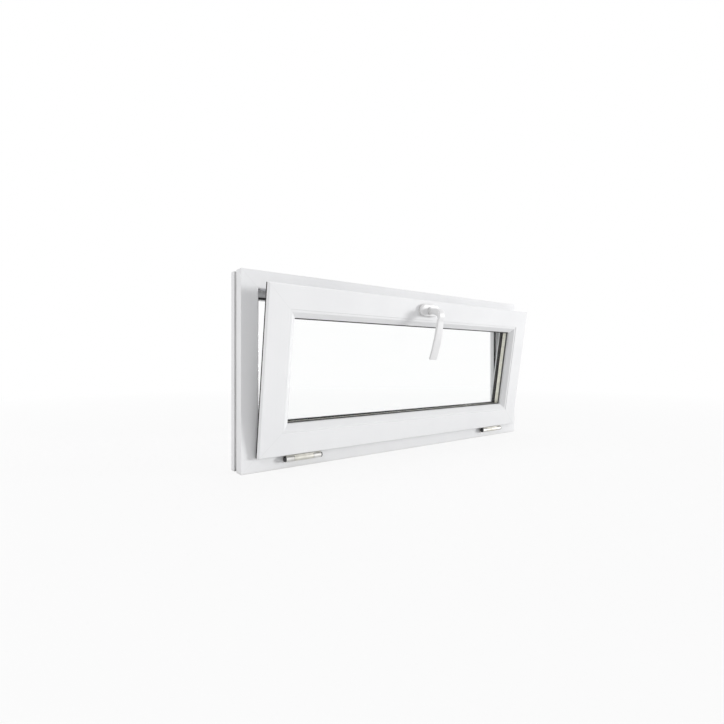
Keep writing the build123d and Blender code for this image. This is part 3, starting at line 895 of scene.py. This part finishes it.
def buildScrewHead():
    # countersunk head with a cross recess, its top a hair above the face
    shape = screwShape
    rim, radius, top = shape["rim"], shape["radius"], shape["proud"]
    arm, halfArm = shape["crossArm"], shape["crossHalf"]
    quarter = [(arm, -halfArm), (arm, halfArm), (halfArm, halfArm)]
    cross = []
    for turn in range(4):
        cosine, sine = round(math.cos(turn * math.pi / 2)), round(math.sin(turn * math.pi / 2))
        cross += [(x * cosine - y * sine, x * sine + y * cosine) for x, y in quarter]
    rings = [
        circle(radius * shape["rootShare"], -shape["sunk"], rim, 0.5),
        circle(radius, -shape["shoulder"], rim, 0.5),
        circle(radius * shape["topShare"], top, rim, 0.5),
    ]
    work = bmesh.new()
    skinRings(work, rings, closeEnd=False)
    taper, floorHeight = shape["crossTaper"], top - shape["crossDepth"]
    mouth = [work.verts.new((x, y, top)) for x, y in cross]
    floor = [work.verts.new((x * taper, y * taper, floorHeight)) for x, y in cross]
    for index in range(len(mouth)):
        following = (index + 1) % len(mouth)
        work.faces.new((mouth[index], mouth[following], floor[following], floor[index]))
    work.faces.new(floor)
    bmesh.ops.bridge_loops(work, edges=[edge for edge in work.edges if edge.is_boundary])
    return sourcePart("screwHead", work)


perforationShape = {"sides": 8, "radius": 0.55 * mm, "proud": 0.03 * mm, "sunk": 0.2 * mm}


# a dark dot, sunk a little and a hair proud, painting the shade of one perforation
def buildDot():
    shape = perforationShape
    heights = (-shape["sunk"], shape["proud"])
    work = bmesh.new()
    skinRings(work, [circle(shape["radius"], height, shape["sides"]) for height in heights])
    return sourcePart("perforationDot", work)


slotShape = {
    "halfLength": 9.0 * mm,
    "radius": 2.6 * mm,
    "proud": 0.03 * mm,
    "sunk": 0.3 * mm,
    "arcPoints": 8,
}


# a dark stadium, sunk a hair into the rail's top and a hair proud of it, painting the shade of a slot
def buildRailSlot():
    shape = slotShape
    flat = stadiumRing(shape["halfLength"], shape["radius"], 0.0, Vector((0.0, 0.0, 0.0)), shape["arcPoints"])
    heights = (-shape["sunk"], shape["proud"])
    work = bmesh.new()
    skinRings(work, [[(x, z, height) for x, y, z in flat] for height in heights])
    return sourcePart("railSlot", work)


fittings = {
    "bracketPlate": 2.0 * mm,
    "bracketScrews": (-16.0 * mm, 16.0 * mm),
    "strikerBase": 2.5 * mm,
    "strikerScrews": (-9.0 * mm, 9.0 * mm),
    "strikerScrewBack": 1.5 * mm,
    "headScrewSize": 0.9,
    "guideScrews": (-24.0 * mm, 24.0 * mm),
    "railScrews": (-0.92, -0.42, 0.42, 0.92),  # shares of the rail's half length
    "railSlots": (-0.62, -0.2, 0.2, 0.62),
    "holePitch": 6.0 * mm,
    "holeRowInset": 4.0 * mm,
}
toLeft, toRight = (-1.0, 0.0, 0.0), (1.0, 0.0, 0.0)
down, up = (0.0, 0.0, -1.0), (0.0, 0.0, 1.0)
quarterTurn = math.pi / 2


def buildHeadScrews(screw):
    # two under each bracket and striker
    places = []
    for side in sides:
        low, high = restBox("stay_bracket_" + side)
        middleX, middleY = (low.x + high.x) / 2, (low.y + high.y) / 2
        for shift in fittings["bracketScrews"]:
            places.append(((middleX + shift, middleY, high.z - fittings["bracketPlate"]), down))
        low, high = restBox("striker_" + side)
        middleX, middleY = (low.x + high.x) / 2, (low.y + high.y) / 2 + fittings["strikerScrewBack"]
        for shift in fittings["strikerScrews"]:
            places.append(((middleX + shift, middleY, high.z - fittings["strikerBase"]), down))
    turned = {"size": fittings["headScrewSize"], "mostTurn": quarterTurn, "seed": 5}
    setParts("bracket_screws", screw, places, "screwZinc", "frame", "zinc_steel", **turned)


def buildSashTop(screw, railSlot):
    # two screws on each stay guide, screws along the lock rail, and dark slot shapes on it that paint the shade
    # of its slots
    places = []
    for side in sides:
        low, high = closedBox("stay_guide_" + side)
        for shift in fittings["guideScrews"]:
            places.append((((low.x + high.x) / 2 + shift, (low.y + high.y) / 2, high.z), up))
    low, high = closedBox("gear_rail")
    railY = (low.y + high.y) / 2
    places += [((high.x * share, railY, high.z), up) for share in fittings["railScrews"]]
    slots = [((high.x * share, railY, high.z), up) for share in fittings["railSlots"]]
    turned = {"onSash": True, "mostTurn": quarterTurn, "seed": 7}
    setParts("sash_top_screws", screw, places, "screwZinc", "sash", "zinc_steel", **turned)
    setParts("rail_slots", railSlot, slots, "capBlackAndHoleShade", "sash", "zinc_steel", onSash=True)


def evenPlaces(centre, half, pitch):
    # evenly spaced, a pitch short of both ends, at about this pitch
    count = int(2 * (half - pitch) / pitch)
    return [centre - half + pitch + index * 2 * (half - pitch) / count for index in range(count + 1)]


def buildSpacerHoles(dot):
    # two rows of dark dots on the spacer's four inner faces, painted shade standing in for its fine holes
    points = closedPoints("spacer_bar")
    low, high = closedBox("spacer_bar")
    centre = (low + high) / 2
    halfX = min(abs(point.x - centre.x) for point in points)
    halfZ = min(abs(point.z - centre.z) for point in points)
    pitch, inset = fittings["holePitch"], fittings["holeRowInset"]
    holes = []
    for row in (low.y + inset, high.y - inset):
        for x in evenPlaces(centre.x, halfX, pitch):
            holes.append(((x, row, centre.z - halfZ), up))
            holes.append(((x, row, centre.z + halfZ), down))
        for z in evenPlaces(centre.z, halfZ, pitch):
            holes.append(((centre.x - halfX, row, z), toRight))
            holes.append(((centre.x + halfX, row, z), toLeft))
    setParts("spacer_holes", dot, holes, "capBlackAndHoleShade", "sash", "spacer_metal", onSash=True)


screw, dot, railSlot = buildScrewHead(), buildDot(), buildRailSlot()
buildHeadScrews(screw)
buildSashTop(screw, railSlot)
buildSpacerHoles(dot)
for part in (screw, dot, railSlot):
    bpy.data.objects.remove(part)
print("screws, slots and spacer holes set")


# floor, world, lamps, camera
studio = {
    "floorHalf": 6.0,
    "floorColour": (0.86, 0.86, 0.86),
    "floorShade": (0.84, 0.84, 0.84),
    "floorGrain": 4.0 * mm,
    "floorRoughness": 0.9,
    "floorWhite": 0.84,  # share of plain white in what the camera sees near the window
    "fade": (0.8, 3.0),  # over this distance the floor goes over into the white around it
    "white": (1.0, 1.0, 1.0),
    "ambient": (0.992, 0.990, 1.0),
    "ambientStrength": 0.64,
}


def directView(tree):
    # 1 for what the camera, a gloss or the glass sees
    path = addNode(tree, "ShaderNodeLightPath").outputs
    seen = compute(tree, "MAXIMUM", path["Is Camera Ray"], path["Is Glossy Ray"])
    return compute(tree, "MAXIMUM", seen, path["Is Transmission Ray"])


def buildFloor():
    half = studio["floorHalf"]
    mesh = bpy.data.meshes.new("floorPlane")
    corners = [(-half, -half, 0.0), (half, -half, 0.0), (half, half, 0.0), (-half, half, 0.0)]
    mesh.from_pydata(corners, [], [(0, 1, 2, 3)])
    floor = bpy.data.objects.new("studio_floor", mesh)
    bpy.context.scene.collection.objects.link(floor)
    finish, tree, shader = startFinish("floorPaper")
    grain = cloud(tree, [studio["floorGrain"]] * 3, 0.0, grainDetail)
    shaded = remap(tree, grain, middle, (0.0, 1.0))
    colour = blendColour(tree, shaded, rgba(studio["floorColour"]), rgba(studio["floorShade"]))
    tree.links.new(colour, shader.inputs["Base Color"])
    shader.inputs["Roughness"].default_value = studio["floorRoughness"]
    place = addNode(tree, "ShaderNodeTexCoord").outputs["Object"]
    away = addNode(tree, "ShaderNodeVectorMath", {"operation": "LENGTH"}, {0: place}).outputs["Value"]
    whiteness = remap(tree, away, studio["fade"], (studio["floorWhite"], 1.0))
    white = addNode(tree, "ShaderNodeEmission", None, {"Color": rgba(studio["white"]), "Strength": 1.0})
    share = compute(tree, "MULTIPLY", directView(tree), whiteness)
    values = {0: share, 1: shader.outputs["BSDF"], 2: white.outputs["Emission"]}
    both = addNode(tree, "ShaderNodeMixShader", None, values)
    tree.links.new(both.outputs["Shader"], tree.nodes["Material Output"].inputs["Surface"])
    mesh.materials.append(finish)


def buildWorld():
    world = bpy.data.worlds.new("studioWorld")
    world.use_nodes = True
    tree = world.node_tree
    tree.nodes.clear()
    lighting = {"Color": rgba(studio["ambient"]), "Strength": studio["ambientStrength"]}
    ambient = addNode(tree, "ShaderNodeBackground", None, lighting)
    white = addNode(tree, "ShaderNodeBackground", None, {"Color": rgba(studio["white"]), "Strength": 1.0})
    values = {0: directView(tree), 1: ambient.outputs["Background"], 2: white.outputs["Background"]}
    both = addNode(tree, "ShaderNodeMixShader", None, values)
    output = addNode(tree, "ShaderNodeOutputWorld")
    tree.links.new(both.outputs["Shader"], output.inputs["Surface"])
    bpy.context.scene.world = world


lampAim = (0.0, 0.0, 0.2)
lamps = {
    "keyLamp": {"place": (13.2, -10.4, 1.8), "size": 3.4, "power": 1480.0},
    "sideLamp": {"place": (-3.0, -0.1, 1.0), "size": 1.6, "power": 14.5},
    "topLamp": {"place": (0.2, 0.2, 2.8), "size": 2.0, "power": 15.5},
}


def buildLamps():
    for name, lamp in lamps.items():
        light = bpy.data.lights.new(name, "AREA")
        light.shape = "SQUARE"
        light.size = lamp["size"]
        light.energy = lamp["power"]
        holder = bpy.data.objects.new(name, light)
        holder.location = lamp["place"]
        aim = Vector(lampAim) - Vector(lamp["place"])
        holder.rotation_euler = aim.to_track_quat("-Z", "Y").to_euler()
        bpy.context.scene.collection.objects.link(holder)


# fitted to the outline of the window in the photograph; focal length and frame in pixels
photoCamera = {
    "focal": 430.9,
    "frame": 724.0,
    "sensor": 36.0,
    "place": (-0.8457, -0.9205, 0.2458),
    "yaw": 0.638,
    "nearest": 0.01,
}


def buildCamera():
    camera = bpy.data.cameras.new("photoCamera")
    camera.sensor_width = photoCamera["sensor"]
    camera.lens = photoCamera["sensor"] * photoCamera["focal"] / photoCamera["frame"]
    camera.clip_start = photoCamera["nearest"]
    holder = bpy.data.objects.new("photoCamera", camera)
    holder.location = photoCamera["place"]
    holder.rotation_euler = (math.pi / 2, 0.0, -photoCamera["yaw"])
    bpy.context.scene.collection.objects.link(holder)
    bpy.context.scene.camera = holder


buildFloor()
buildWorld()
buildLamps()
buildCamera()
bpy.context.scene.view_settings.view_transform = "Standard"
print("studio ready")
